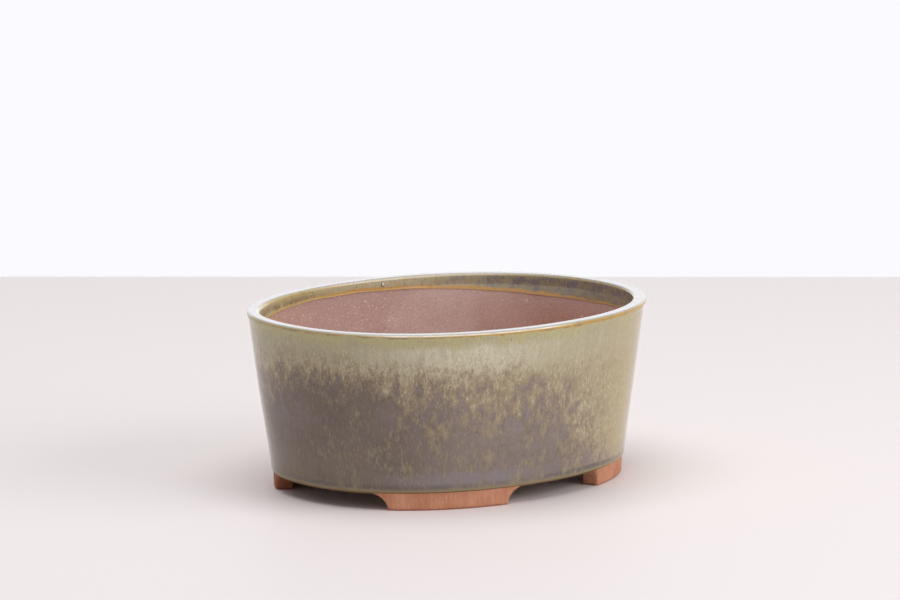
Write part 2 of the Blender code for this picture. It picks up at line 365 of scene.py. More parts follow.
glazeLook = dict(
    sage=rgb(172, 163, 134),
    # also the colour of the painted highlight high on the front
    milkyAndHighlight=rgb(216, 209, 184),
    leaf=rgb(190, 180, 128),
    sand=rgb(190, 176, 142),
    oat=rgb(160, 140, 115),
    mauve=rgb(117, 101, 94),
    umber=rgb(103, 88, 78),
    hazeAndReflection=rgb(146, 131, 127),
    slate=rgb(140, 132, 138),
    straw=rgb(160, 142, 110),
    fern=rgb(152, 156, 122),
    tan=rgb(196, 160, 118),
    olive=rgb(140, 126, 88),
    amber=rgb(194, 152, 70),
    gold=rgb(214, 164, 92),
    rust=rgb(168, 116, 62),
    moss=rgb(150, 134, 98),
    ink=rgb(70, 66, 74),
    bark=rgb(124, 102, 82),
    loam=rgb(124, 110, 88),
    honey=rgb(204, 182, 112),
    hay=rgb(180, 160, 106),
    murk=rgb(150, 145, 126),
    crest=rgb(180, 178, 186),
    # pale pink for painted highlights on the rim's edges
    paintedHighlight=rgb(244, 228, 208),
    innerOlive=rgb(200, 187, 140),
    innerBrown=rgb(160, 143, 111),
    innerPale=rgb(210, 202, 172),
    bruise=rgb(128, 123, 132),
    # noise in the glaze, sizes in mm
    grains=dict(
        fine=dict(size=0.55, roughness=0.6, stretch=1.7, seed=23.0),
        dab=dict(size=0.85, detail=1.5, stretch=2.6, seed=81.0),
        hatch=dict(size=1.4, detail=3.0, roughness=0.62, stretch=2.6, seed=11.0),
        tint=dict(size=0.9, stretch=3.5, seed=61.0),
        stain=dict(size=2.6, detail=2.5, roughness=0.6, seed=71.0),
        clump=dict(size=4.4, detail=2.5, stretch=1.5, seed=3.1),
        patch=dict(size=13.0, detail=1.5, stretch=1.2, seed=15.2),
        drift=dict(size=26.0, detail=1.0, seed=7.7),
        curtain=dict(size=2.4, detail=1.5, stretch=12.0, seed=33.0),
    ),
    # sides of the pot: degrees round it, and the cosines where the mask starts and is full
    sides=dict(
        streaked=(-100, 0.2, 0.95),
        rightEdge=(-42, 0.80, 0.98),
        rightward=(-80, -0.5, 0.85),
        leftward=(100, -0.35, 0.75),
        behind=(66, 0.75, 0.98),
        rightInside=(-5, 0.3, 0.9),
        faraway=(140, 0.5, 0.9),
        leftTip=(155, 0.80, 0.97),
        rightLip=(-70, 0.3, 0.9),
        rightEnd=(-70, 0.5, 0.95),
        rimLight=(-122, 0.82, 0.95),
    ),
    seam=-150,  # degrees round the pot, opposite the place where the layout's two ends meet
    edgeLow=-20,  # the lowest edge in the layout, and the spans that fit its columns into a ramp
    edgeSpan=90,
    blurSpan=50,
    # round the pot: degrees from seam, height where the dark coat ends and its blur in mm,
    # then how much of each from 0 to 1: haze in the dark coat, milk in the pale one, pool at the foot.
    # Haze and milk are partly the glaze's own tone and partly a painted reflection on the front
    layout=(
        (-180, -18, 8, 0.2, 0.3, 0.3),
        (-150, -12, 12, 0.2, 0.3, 0.2),
        (-128, 14, 22, 0.2, 0.2, 0.1),
        (-104, 33, 18, 0.2, 0.1, 0.1),
        (-76, 42, 17, 0.55, 0.25, 0.1),
        (-60, 46, 15, 0.55, 0.25, 0.1),
        (-47, 51, 11, 0.25, 0.05, 0.1),
        (-34, 54.5, 8, 0.1, 0.0, 0.1),
        (-20, 54.5, 8.5, 0.0, 0.0, 0.6),
        (-8, 54, 8.5, 0.0, 0.1, 0.7),
        (1, 52, 9.5, 0.0, 0.35, 0.6),
        (13, 49.5, 11, 0.25, 0.75, 0.5),
        (25, 47, 13.5, 0.6, 1.0, 0.5),
        (36, 46, 15.5, 0.65, 0.95, 0.35),
        (46, 45, 15.5, 0.6, 0.6, 0.35),
        (55, 42, 15, 0.5, 0.35, 0.5),
        (65, 35, 19, 0.45, 0.2, 0.8),
        (76, 19, 26, 0.45, 0.15, 1.0),
        (88, -2, 25, 0.5, 0.3, 0.9),
        (104, -16, 16, 0.4, 0.5, 0.6),
        (130, -18, 8, 0.2, 0.5, 0.4),
        (180, -18, 8, 0.2, 0.3, 0.3),
    ),
)


def layoutRamps(facing, look):
    # the layout's columns as two colour ramps over the turn round the pot
    ahead = facing.dot(toward(look["seam"]))
    aside = facing.dot(toward(look["seam"] + 90))
    turn = aside.sum("ARCTAN2", aside, ahead) / (2 * math.pi) + 0.5
    stops = ([], [])
    for degrees, edge, blur, hazeAndReflection, milkAndHighlight, pool in look["layout"]:
        position = degrees / 360 + 0.5
        edgeShare = (edge - look["edgeLow"]) / look["edgeSpan"]
        stops[0].append((position, (edgeShare, blur / look["blurSpan"], hazeAndReflection, 1)))
        stops[1].append((position, (milkAndHighlight, pool, 0, 1)))
    channels = []
    for rampStops, count in zip(stops, (3, 2)):
        ramp = turn.node("ShaderNodeValToRGB", {"stops": rampStops}, {0: turn})
        channels += [ramp.node("ShaderNodeSeparateColor", {}, {0: ramp}, k) for k in range(count)]
    edge, blur, hazeAndReflection, milkAndHighlight, pool = channels
    return edge * look["edgeSpan"] + look["edgeLow"], blur * look["blurSpan"], hazeAndReflection, milkAndHighlight, pool


def glazeMaterial():
    # heights are in mm over the table, and the rim's top is at 70
    look = glazeLook
    material, shader, place = startMaterial("olive_glaze", ("IOR", 1.5))
    height = heightOf(place)
    facing = heading(place)
    fromBorder = carried(place, "fromBorder")
    outside = carried(place, "inside").rise(0.6, 0.4)
    within = 1 - outside
    grains = [place.grain(**grain) - 0.5 for grain in look["grains"].values()]
    fine, dab, hatch, tint, stain, clump, patch, drift, curtain = grains
    sides = [sideMask(facing, *ends) for ends in look["sides"].values()]
    streaked, rightEdge, rightward, leftward, behind, rightInside = sides[:6]
    faraway, leftTip, rightLip, rightEnd, rimLight = sides[6:]
    edge, blur, hazeAndReflection, milkAndHighlight, pool = layoutRamps(facing, look)

    def lay(coat, mask, name):
        return mask.mixed(coat, look[name])

    # the pale coat on top
    pale = (curtain * 2.0 + clump + 0.25).mixed(look["sage"], look["sand"])
    lowPale = (height + clump * 20).rise(64.0, 46.0) * streaked
    pale = lay(pale, lowPale * (0.4 + hatch * 2.5 + dab * 2.5), "oat")
    # partly the glaze's milky tone and partly a painted highlight: the pale coat is painted paler high up on
    # the front
    milkyVeilAndHighlight = (height + clump * 6.0).rise(67.5, 62.5) * height.rise(48.0, 58.0) * milkAndHighlight
    pale = lay(pale, milkyVeilAndHighlight * (0.8 + hatch * 1.2 + dab * 1.5 + curtain), "milkyAndHighlight")
    pale = lay(pale, (tint * 2.4 - 0.05) * (0.3 + lowPale), "tan")
    pale = lay(pale, tint * -2.2 - 0.10, "fern")
    top = (height + clump * 6.0 + patch * 8.0 + hatch * 4.0).rise(63.0, 69.0)
    pale = lay(pale, top * (0.85 + tint * 1.5), "leaf")
    pale = lay(pale, rightEdge * (0.65 + curtain), "hay")
    pale = lay(pale, fine * 1.2 + curtain * 1.2 + dab * 0.6 - 0.16, "bark")
    pale = lay(pale, fine * -1.8 - dab * 1.2 - 0.10, "milkyAndHighlight")

    # the dark coat below, with paler threads breaking through
    speckle = fine * 2.4 + dab * 2.0 + hatch * (milkAndHighlight * 1.2 + 1.7)
    speckle = speckle + stain * 1.4 + clump * 3.8 + patch * 2.0
    depth = (edge - height) / blur
    darkness = (depth + speckle * (1 - depth.rise(0.1, -1.3) * 0.7)) * 0.5 + 0.5
    darkness = darkness.most(0).least(1)
    dark = (drift * 2.5 + stain * 1.6 + hatch * 0.8 + 0.5).mixed(look["mauve"], look["umber"])
    # partly the glaze's haze and partly a painted reflection: the dark coat is painted paler on the front and
    # at the left end
    dark = lay(dark, hazeAndReflection + clump * 0.7 + patch * 0.8 + curtain * 0.3, "hazeAndReflection")
    dark = lay(dark, stain * 2.4 + fine * 2.2 + tint + 0.1, "loam")
    dark = lay(dark, dab * 2.4 + hatch * 1.6 - stain - 0.16, "slate")
    lowLeft = height.rise(30.0, 12.0) * (1 - rightward)
    dark = lay(dark, lowLeft * (0.45 + clump * 2.0 + curtain), "loam")
    threads = dab * 2.4 + fine * 2.0 - hatch * 2.0 - clump * 3.8 - patch * 2.0 + rightward * 0.3
    thread = (tint * 2.4 + 0.2).mixed(look["straw"], look["fern"])
    dark = (threads.rise(0.1, 1.7) * (rightward * 0.6 + 0.2)).mixed(dark, thread)
    dark = lay(dark, fine * 1.6 + dab * 0.6 - 0.16, "ink")
    between = (tint * 2.4 + 0.5).mixed(look["oat"], look["straw"])
    color = (darkness * 2.2 - 0.1).mixed(pale, between)
    color = (darkness * 1.6 - 0.6).mixed(color, dark)

    # the thick lower edge, and the thin bead that the clay shows through
    band = fromBorder.bump(5.0, 1.0, 2.6) * outside * milkAndHighlight * (0.55 + clump * 1.5)
    color = lay(color, band, "slate")
    pooled = (fromBorder + stain * 1.2).bump(2.0, 0.25, 1.2) * outside
    broken = (clump * 1.2 + patch * 1.6 + pool * 0.8 + 0.1).rise(0.0, 0.8)
    color = lay(color, pooled * broken * (pool * 0.45 + 0.12), "ink")
    flecks = (stain * 4.0 - 0.25) * (1 - milkAndHighlight) * pool
    color = lay(color, pooled * flecks, "fern")
    bead = fromBorder.rise(1.7, 0.7) * outside
    beadTone = (hatch * 2.0 + 0.4).mixed(look["moss"], look["olive"])
    color = (bead * (0.75 + hatch)).mixed(color, beadTone)
    clayEdge = (fromBorder + clump * 0.8).rise(0.35, 0.05) * outside
    color = lay(color, clayEdge * 0.6, "rust")

    # inside the rim
    inner = (leftward + clump * 0.8).mixed(look["innerBrown"], look["innerOlive"])
    paleShare = behind * (0.55 + stain * 3 + hatch)
    paleShare += height.bump(65.8, 0.6, 1.4) * (0.2 + stain * 3)
    inner = lay(inner, paleShare, "innerPale")
    inner = lay(inner, hatch * 2.4 + tint * 2.0 - 0.10, "olive")
    bruised = clump * 1.2 + stain * 1.8 + hatch * 0.8 + height.bump(66.9, 0.6, 2.0) * 0.2
    inner = lay(inner, rightInside * 0.6, "murk")
    inner = lay(inner, bruised.rise(-0.06, 0.45) * rightInside * 0.9, "bruise")
    shade = (stain * 1.5 + dab * 1.5 - clump * 2.0).rise(0.0, 0.5) * (1 - leftward)
    inner = lay(inner, shade * 0.35, "bark")
    vein = (height + clump * 3.0).bump(66.6, 0.2, 1.7) * (clump * 3.0 + stain * 1.2 + 0.6)
    inner = lay(inner, vein * (leftward * 0.2 + faraway * 0.5), "bark")
    line = height.bump(68.9, 0.3, 0.8) * faraway * (1 - leftTip * 0.7)
    inner = lay(inner, line * (0.5 + hatch * 2.0), "honey")
    inner = lay(inner, (fine * 1.5 + stain * 2.0) * faraway * 0.7, "bark")
    inner = lay(inner, fine * 2.4 - 0.2, "bark")
    inner = lay(inner, fine * -2.2 - 0.2, "milkyAndHighlight")
    color = within.mixed(color, inner)
    border = fromBorder + fine * 0.7 + clump * 1.4 + (1 - leftward) * 0.95 + faraway * 0.45
    border = border.rise(1.75, 1.0) * within
    borderTone = (faraway * 0.9 + hatch).mixed(look["gold"], look["honey"])
    borderTone = lay(borderTone, hatch * 2.0 - 0.1, "rust")
    color = (border * (0.9 + hatch)).mixed(color, borderTone)

    # the flat top of the rim, and both of its edges
    crest = (clump * 2.4 + stain * 2.4 + hatch + 0.15).mixed(look["crest"], look["sage"])
    crest = lay(crest, tint * 2.0 + fine * 1.5 - 0.16, "fern")
    color = (height - within * faraway * 0.08).rise(69.6, 69.85).mixed(color, crest)
    strawShare = hatch * 2.0 + clump * 1.5 + 0.55 - rightLip
    edgeTone = strawShare.mixed(look["amber"], look["straw"])
    edgeTone = lay(edgeTone, clump * 2.4 - hatch * 1.5 + 0.1, "moss")
    lip = height + fine * 0.6 + clump * 2.0 + rightEnd * 0.5
    outerEdge = lip.rise(68.45, 68.95) * height.rise(69.7, 69.45) * outside
    innerEdge = (height + fine * 0.5).bump(69.35, 0.12, 0.32) * within * (0.8 - leftTip * 0.6)
    color = outerEdge.mixed(color, edgeTone)
    innerLip = (hatch * 2.0 + 0.3).mixed(look["honey"], look["straw"])
    # painted highlight on the rim's inner edge, on the far side
    innerLip = lay(innerLip, behind * 0.7, "paintedHighlight")
    color = innerEdge.mixed(color, innerLip)
    # painted highlight: a thin pale line along the rim's outer edge, on the side toward the light
    paintedHighlightMask = rimLight * (0.85 + clump * 2)
    color = lay(color, height.bump(69.45, 0.13, 0.22) * outside * paintedHighlightMask, "paintedHighlight")

    swell = place.grain(9.0, detail=1.0, seed=41.0) * 0.8
    swell += place.grain(1.6, detail=1.0, stretch=1.5, seed=47.0) * 0.05
    finishShader(shader, color, fine * 0.12 + hatch * 0.10 + 0.13, swell, 0.35, 0.3 * mm)
    return material


pipLook = dict(pearl=rgb(226, 220, 204), smoke=rgb(112, 102, 92), seed=5.0)


def pipMaterial():
    look = pipLook
    material, shader, place = startMaterial("blistered_glaze")
    cloud = place.grain(0.8, seed=look["seed"]) - 0.5
    reach = carried(place, "reach")
    color = (reach + cloud * 0.5).rise(0.4, 0.85).mixed(look["pearl"], look["smoke"])
    finishShader(shader, color, cloud * 0.2 + 0.1, cloud, 0.3, 0.1 * mm)
    return material


# bare fired clay

clayLook = dict(
    rose=rgb(210, 180, 173),
    roseDeep=rgb(192, 157, 150),
    orange=rgb(210, 151, 119),
    orangeDeep=rgb(186, 121, 90),
    grain=rgb(250, 224, 200),
    warm=rgb(204, 156, 134),
    rust=rgb(186, 116, 84),
    # dark brown, used only for painted shade on the feet
    paintedShadeBrown=rgb(140, 78, 54),
    shadow=rgb(142, 104, 94),
    # tan and olive brown for the painted shade under the pot
    underShadeTan=rgb(140, 108, 80),
    underShadeOlive=rgb(112, 92, 66),
)


def grit(place, size, share, seed):
    # small grains, one in some of the cells, as a mask
    gap = place.cells(size, 0, seed)
    pick = place.node("ShaderNodeSeparateColor", {}, {0: place.cells(size, 1, seed)}, 0)
    return gap.rise(0.36, 0.20) * pick.rise(1 - share, 1.05 - share)


def clayMaterial():
    look = clayLook
    material, shader, place = startMaterial("bare_clay", ("Specular IOR Level", 0.25))
    height = heightOf(place)
    facing = heading(place)
    cloud = place.grain(14.0, detail=3.0, seed=2.0) - 0.5
    dust = place.grain(0.55, roughness=0.7, seed=5.0) - 0.5
    wiping = place.grain(2.2, stretch=0.35, seed=6.0) - 0.5
    wallward = onPlan(place).vector("LENGTH", output=1).rise(0.4, 0.75)  # 0 over the floor's middle
    # painted shade and light: the inner wall is painted darker on the side toward 120 degrees and lighter on
    # the far side toward 45 degrees
    paintedSideShade = sideMask(facing, 120, 0.4, 0.9) * 0.6 - sideMask(facing, 45, 0.8, 1.0) * 0.35
    paintedSideShade *= wallward
    color = (cloud * 2.4 + wiping * 1.2 + 0.5 + paintedSideShade).mixed(look["rose"], look["roseDeep"])
    # painted shade: low on the right side inside, the clay is painted darker and more orange-brown
    paintedShadeLowRight = sideMask(facing, 0, 0.60, 0.95) * (height + cloud * 12).rise(64.0, 54.0) * wallward
    color = (paintedShadeLowRight * 0.32).mixed(color, look["rust"])
    color = (dust * 1.5).mixed(color, look["shadow"])
    color = (dust * -0.9).mixed(color, look["grain"])
    # grains of grit, more of them toward one end
    crowd = sideMask(facing, 125, 0.0, 0.95) * wallward
    color = (sideMask(facing, 150, 0.55, 1.0) * wallward * 0.5).mixed(color, look["warm"])
    pale = grit(place, 0.85, 0.24, 9.0)
    fineDark = grit(place, 0.9, 0.25, 19.0)
    color = (pale * (crowd * 0.75 + 0.15 + cloud)).mixed(color, look["grain"])
    color = (fineDark * 0.4).mixed(color, look["rust"])
    big = grit(place, 1.5, 0.05, 29.0)
    color = (big * 0.8).mixed(color, look["grain"])
    # painted shade: below the glaze line, on the strip under the glaze and on the underside, the clay is
    # painted dark brown where the pot's shadow falls
    under = (cloud * 2.4 + dust + 0.5).mixed(look["underShadeTan"], look["underShadeOlive"])
    color = height.rise(8.0, 7.0).mixed(color, under)
    surface = dust * 0.6 + pale * 0.35 + big * 0.6 + wiping * 0.4
    finishShader(shader, color, dust * 0.2 + 0.78, surface, 0.5, 0.15 * mm)
    return material


def footMaterial():
    look = clayLook
    material, shader, place = startMaterial("foot_clay", ("Specular IOR Level", 0.3))
    cloud = place.grain(11.0, seed=4.0) - 0.5
    scrape = place.grain(0.7, roughness=0.65, stretch=9.0, seed=8.0) - 0.5
    dust = place.grain(0.5, seed=13.0) - 0.5
    color = (cloud * 2.0 + 0.5).mixed(look["orange"], look["orangeDeep"])
    color = (scrape * 1.4).mixed(color, look["rust"])
    color = (scrape * -0.7 + dust * 0.5).mixed(color, look["grain"])
    specks = grit(place, 1.1, 0.10, 37.0)
    color = (specks * 0.12).mixed(color, look["grain"])
    # painted shade: the foot at the left end is painted darker, as it stands in shade
    paintedShadeLeftFoot = sideMask(heading(place), 150, 0.88, 0.98)
    color = (paintedShadeLeftFoot * 0.75).mixed(color, look["paintedShadeBrown"])
    # painted shade: darker along the foot's bottom edge, where it meets the table
    paintedContactShade = (heightOf(place) + dust * 1.2).rise(1.1, 0.1)
    color = (paintedContactShade * 0.6).mixed(color, look["paintedShadeBrown"])
    finishShader(shader, color, scrape * 0.2 + 0.7, scrape * 0.7 + dust * 0.4, 0.5, 0.12 * mm)
    return material


clayPaint = clayMaterial()
footPaint = footMaterial()
glazePaint = glazeMaterial()
pipPaint = pipMaterial()
print("materials made")


def dress(piece, material, slotName, *nodes):
    piece.data.materials.clear()
    piece.data.materials.append(material)
    if nodes:
        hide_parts(*nodes)
    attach(piece, "root")


# the glaze coat: outside, over the rim and a band inside

glazeForm = dict(
    turns=540,
    wallSteps=34,
    roundSteps=7,
    crestSteps=4,
    bandSteps=10,
    beadSteps=4,
    bead=0.28 * mm,  # rounding of its lower edges
    beadProud=0.06 * mm,  # how far the bead stands out
    beadReach=3 * mm,  # height over which that fades into the face
    slowWave=0.10 * mm,  # unevenness of the face, slow and small
    smallWave=0.03 * mm,
    borderSag=0.35 * mm,  # unevenness of the outer lower edge
    # where the glaze ran thick
    roll=dict(angle=-60, spread=14, thickness=0.45 * mm, middle=0.9 * mm, height=2.2 * mm, atEdge=0.55),
    leftSwell=0.3 * mm,  # the wall stands out under the lip at the left end
    leftRise=30 * mm,  # height over which it does so
    leftRound=1.0 * mm,  # and the rim's inner edge is rounder there
    crestDip=0.05 * mm,
    bandDepth=6.7 * mm,
    bandDepthSwing=2.1 * mm,  # it hangs lower at both ends of the oval
    bandWave=0.3 * mm,
    bandUneven=0.05 * mm,
    bite=0.2 * mm,  # how far its hidden side reaches into the clay
    hiddenDrop=1.2 * mm,  # from the rim's top to the hidden side
    farOff=10 * mm,  # stands for any distance well away from both borders
)


def glazeBorder(angle):
    return section["glazeLine"] + glazeForm["borderSag"] * (0.5 + 0.5 * wave(angle, 0, 17 * mm, 5.0))


def bandBorder(angle):
    depth = glazeForm["bandDepth"] + glazeForm["bandDepthSwing"] * math.cos(2 * angle)
    return section["top"] - depth + glazeForm["bandWave"] * wave(angle, 0, 15 * mm, 9.0)


def glazeSection(angle):
    # (inset, height, distance from the border, inside) round one section, starting at the outer border
    form = glazeForm
    roll, bead = form["roll"], form["bead"]
    top, lipRoot, depth = section["top"], section["lipRoot"], section["glazeDepth"]
    low = glazeBorder(angle)
    swell = roll["thickness"] * math.exp(-((degreesFrom(roll["angle"], angle) / roll["spread"]) ** 2))
    points = []

    def uneven(height):
        slow = 0.5 + 0.5 * wave(angle, height, 24 * mm, 2.0)
        small = 0.5 + 0.5 * wave(angle, height * 0.5, 6 * mm, 4.0)
        return form["slowWave"] * slow + form["smallWave"] * small

    # the bead at the foot of the wall
    for turn, sine, cosine in quarter(form["beadSteps"]):
        inset = outerInset(low) + bead * (1 - sine) - (form["beadProud"] + swell * roll["atEdge"]) * sine
        points.append((inset, low + bead * (1 - cosine), bead * turn, 0.0))
    # the outer face
    for step in range(1, form["wallSteps"] + 1):
        share = step / form["wallSteps"]
        height = low + bead + (lipRoot - low - bead) * share
        grow = min(1.0, (height - low) / form["beadReach"])
        above = (height - low - roll["middle"]) / roll["height"]
        inset = outerInset(height) - form["beadProud"] * (1 - grow) + uneven(height) * grow
        inset -= swell * math.exp(-(above**2) * 2)
        inset -= form["leftSwell"] * leftShare(angle) * min(1.0, (height - low) / form["leftRise"])
        points.append((inset, height, height - low, 0.0))
    # over the rim
    outerRadius = section["edgeRound"]
    radius = outerRadius + form["leftRound"] * leftShare(angle)
    face = section["rimThickness"]
    for centre, bend, start, side in ((outerRadius, outerRadius, 180, 0.0), (face - radius, radius, 90, 1.0)):
        for step in range(form["roundSteps"] + 1):
            turn = math.radians(start - 90 * step / form["roundSteps"])
            height = top - bend + bend * math.sin(turn)
            points.append((centre + bend * math.cos(turn), height, form["farOff"], side))
        if side == 0.0:
            flat = face - outerRadius - radius
            for step in range(1, form["crestSteps"]):
                share = step / form["crestSteps"]
                dip = form["crestDip"] * math.sin(math.pi * share)
                points.append((outerRadius + flat * share, top - dip, form["farOff"], share))
    # the band inside, and its bead
    end = bandBorder(angle)
    for step in range(1, form["bandSteps"] + 1):
        height = top - radius + (end + bead - top + radius) * step / form["bandSteps"]
        inset = max(face, innerInset(height) - depth) + form["bandUneven"] * wave(angle, height, 8 * mm, 6.0)
        points.append((inset, height, height - end, 1.0))
    edgeInset = max(face, innerInset(end) - depth)
    for turn, sine, cosine in quarter(form["beadSteps"])[1:]:
        height = end + bead * (1 - sine)
        points.append((edgeInset + bead * (1 - cosine), height, bead * (1 - turn), 1.0))
    # back over the clay, out of sight
    hiddenTop = top - form["hiddenDrop"]
    return points + [
        (innerInset(end) + form["bite"], end, 0.0, 1.0),
        (innerInset(top - section["lipDrop"]), hiddenTop, form["farOff"] / 2, 1.0),
        (outerInset(lipRoot) + depth, hiddenTop, form["farOff"] / 2, 0.0),
        (outerInset(low) + depth + form["bite"], low, 0.0, 0.0),
    ]


def buildGlaze():
    rows, values = [], []
    for angle in roundAngles(glazeForm["turns"]):
        row, line = [], []
        for inset, height, reach, side in glazeSection(angle):
            row.append(ringPoint(angle, max(inset, 0.0), height))
            line.append({"fromBorder": reach / mm, "inside": side})
        rows.append(row)
        values.append(line)
    return loftMesh("glaze", rows, values)


dress(buildGlaze(), glazePaint, "olive_glaze", "glaze_coat")
print("glaze made")


# small blisters where the glaze boiled in the kiln

pipForm = dict(
    # degrees round the pot, height and width in mm, inner or outer face
    places=(
        (99.9, 68.6, 1.1, "inner"),
        (83.9, 68.0, 1.1, "inner"),
        (75.0, 67.5, 2.2, "inner"),
        (72.6, 68.6, 0.9, "inner"),
        (13.9, 62.9, 1.4, "inner"),
        (1.3, 62.2, 1.1, "inner"),
        (-8.0, 66.5, 0.9, "inner"),
        (150.0, 66.0, 1.2, "inner"),
        (-95.0, 66.8, 1.0, "inner"),
        (-141.0, 67.5, 1.3, "inner"),
        (-109.0, 66.3, 0.8, "outer"),
        (46.0, 58.0, 0.9, "outer"),
        (118.0, 44.0, 0.8, "outer"),
    ),
    flatness=0.42,
    sink=0.12,  # share of the radius that lies in the glaze
    wobble=0.10,
    sides=14,
    rings=5,
    sharpAngle=70,
)


def buildPips():
    form = pipForm
    shape = bmesh.new()
    layer = shape.verts.layers.float.new("reach")
    for degrees, height, width, side in form["places"]:
        height *= mm
        radius = width * mm / 2
        angle = math.radians(degrees)
        if side == "inner":
            inset, outward = max(section["rimThickness"], innerInset(height) - section["glazeDepth"]), -1
        else:
            inset, outward = outerInset(height), 1
        normal = ovalPoint(angle, inset)[1]
        centre = Vector(ringPoint(angle, inset, height)) - normal * outward * radius * form["sink"]
        sideways = Vector((-normal.y, normal.x, 0))
        rings = []
        for _, sine, cosine in quarter(form["rings"])[:-1]:
            line = []
            for spin in roundAngles(form["sides"]):
                lump = noise.noise(Vector((math.cos(spin), math.sin(spin), degrees)))
                across = radius * (1 + form["wobble"] * lump) * cosine
                flat = sideways * math.cos(spin) + Vector((0, 0, math.sin(spin)))
                raised = normal * outward * radius * form["flatness"] * sine
                vertex = shape.verts.new(centre + flat * across + raised)
                vertex[layer] = cosine
                line.append(vertex)
            rings.append(line)
        tip = shape.verts.new(centre + normal * outward * radius * form["flatness"])
        for turn in range(form["sides"]):
            after = (turn + 1) % form["sides"]
            for lower, upper in zip(rings, rings[1:]):
                shape.faces.new((lower[turn], lower[after], upper[after], upper[turn]))
            shape.faces.new((rings[-1][turn], rings[-1][after], tip))
        shape.faces.new(list(reversed(rings[0])))
    return finishMesh("glaze_pips", shape, form["sharpAngle"])


dress(buildPips(), pipPaint, "olive_glaze")


# the clay wall

wallForm = dict(
    turns=360,
    steps=26,
    cornerSteps=4,
    edgeRound=0.35 * mm,
    toe=3 * mm,  # how far its underside reaches in past the floor's edge
    wiping=0.10 * mm,  # unevenness inside, in rings and in dimples
    dimple=0.05 * mm,
)


def buildWall():
    form = wallForm
    rows = []
    low, high = section["underside"], section["wallTop"]
    under = section["glazeDepth"]
    radius = form["edgeRound"]
    outer = outerInset(low) + under
    for angle in roundAngles(form["turns"]):
        line = [(innerInset(low) + form["toe"], low)]
        for _, sine, cosine in quarter(form["cornerSteps"]):
            line.append((outer + radius * (1 - sine), low + radius * (1 - cosine)))
        line += [(outerInset(high) + under, high), (innerInset(high), high)]
        for step in range(1, form["steps"] + 1):
            height = high + (low - high) * step / form["steps"]
            ripple = form["wiping"] * wave(angle, height * 3.0, 30 * mm, 1.0)
            ripple += form["dimple"] * wave(angle, height, 5 * mm, 8.0)
            line.append((innerInset(height) + (ripple if step < form["steps"] else 0), height))
        rows.append([ringPoint(angle, inset, height) for inset, height in line])
    return loftMesh("clay_wall", rows)


dress(buildWall(), clayPaint, "bare_clay", "wall_ring")


# the clay of the rim, under its glaze

rimForm = dict(turns=360, steps=5, low=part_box("rim_ring")[0].z)


def buildRim():
    depth = section["glazeDepth"]
    radius = section["edgeRound"] - depth
    level = section["top"] - section["edgeRound"]
    lipRoot = section["lipRoot"]
    low = rimForm["low"]
    ends = ((section["edgeRound"], 180), (section["rimThickness"] - section["edgeRound"], 90))
    rows = []
    for angle in roundAngles(rimForm["turns"]):
        line = [(innerInset(low), low)]
        line += [(outerInset(height) + depth, height) for height in (low, lipRoot)]
        for centre, start in ends:
            for step in range(rimForm["steps"] + 1):
                part = math.radians(start - 90 * step / rimForm["steps"])
                line.append((centre + radius * math.cos(part), level + radius * math.sin(part)))
        rows.append([ringPoint(angle, inset, height) for inset, height in line])
    return loftMesh("clay_rim", rows)


dress(buildRim(), clayPaint, "bare_clay", "rim_ring")


# the seam inside, smoothed into a cove

coveForm = dict(
    turns=240,
    steps=9,
    reach=5.0 * mm,
    wobble=0.12,
    sunk=0.05 * mm,  # how far its edges lie in wall and floor
    bite=0.8 * mm,  # how far its hidden side reaches into them
    drop=1.5 * mm,
)


def buildCove():
    form = coveForm
    rows = []
    floorTop, sunk, bite = section["floorTop"], form["sunk"], form["bite"]
    hidden = floorTop - form["drop"]
    wallInset = innerInset(floorTop)
    for angle in roundAngles(form["turns"]):
        wobble = 1 + form["wobble"] * wave(angle, 0, 12 * mm, 3.0)
        reach, rise = form["reach"] * wobble, (section["coilTop"] - floorTop) * wobble
        line = []
        for _, sine, cosine in quarter(form["steps"]):
            height = floorTop + rise * (1 - sine) - sunk
            line.append((innerInset(height) + reach * (1 - cosine) - sunk, height))
        line += [(wallInset + reach * 0.7, hidden), (wallInset - bite, hidden)]
        line.append((innerInset(floorTop + rise) - bite, floorTop + rise * 0.9))
        rows.append([ringPoint(angle, inset, height) for inset, height in line])
    return loftMesh("seam_cove", rows)


dress(buildCove(), clayPaint, "bare_clay", "seam_coil")


# the floor with its holes

floorForm = dict(
    turns=160,
    rings=14,
    edgeGap=1.0 * mm,  # from the wall's inner face to the slab's edge
    uneven=0.08 * mm,
    unevenSize=22 * mm,
    # diameter and place of each hole in mm: two drains, and four for wire
    holes=(
        (14.0, -30.0, 0.0),
        (14.0, 30.0, 0.0),
        (3.5, -45.0, -20.0),
        (3.5, -45.0, 20.0),
        (3.5, 45.0, -20.0),
        (3.5, 45.0, 20.0),
    ),
    holeRound=0.9 * mm,
    holeSides=72,
    holeSteps=6,
)


def holeCutter(diameter, x, y):
    # a plug with trumpet ends, which rounds the hole's edges
    radius, flare = diameter / 2, floorForm["holeRound"]
    low, high = section["underside"], section["floorTop"]
    steps = quarter(floorForm["holeSteps"])
    past, wider = 2 * mm, 0.3 * mm  # the plug goes on past both faces, a little wider
    profile = [(radius + flare + wider, low - past), (radius + flare, low)]
    profile += [(radius + flare * (1 - sine), low + flare * (1 - cosine)) for _, sine, cosine in steps[1:]]
    profile += [(radius + flare * (1 - cosine), high - flare * (1 - sine)) for _, sine, cosine in steps]
    profile.append((radius + flare + wider, high + past))
    angles = roundAngles(floorForm["holeSides"])
    rows = [[(x + r * math.cos(a), y + r * math.sin(a), z) for a in angles] for r, z in profile]
    return loftMesh("hole_plug", rows, endCaps=True, closedRound=False)


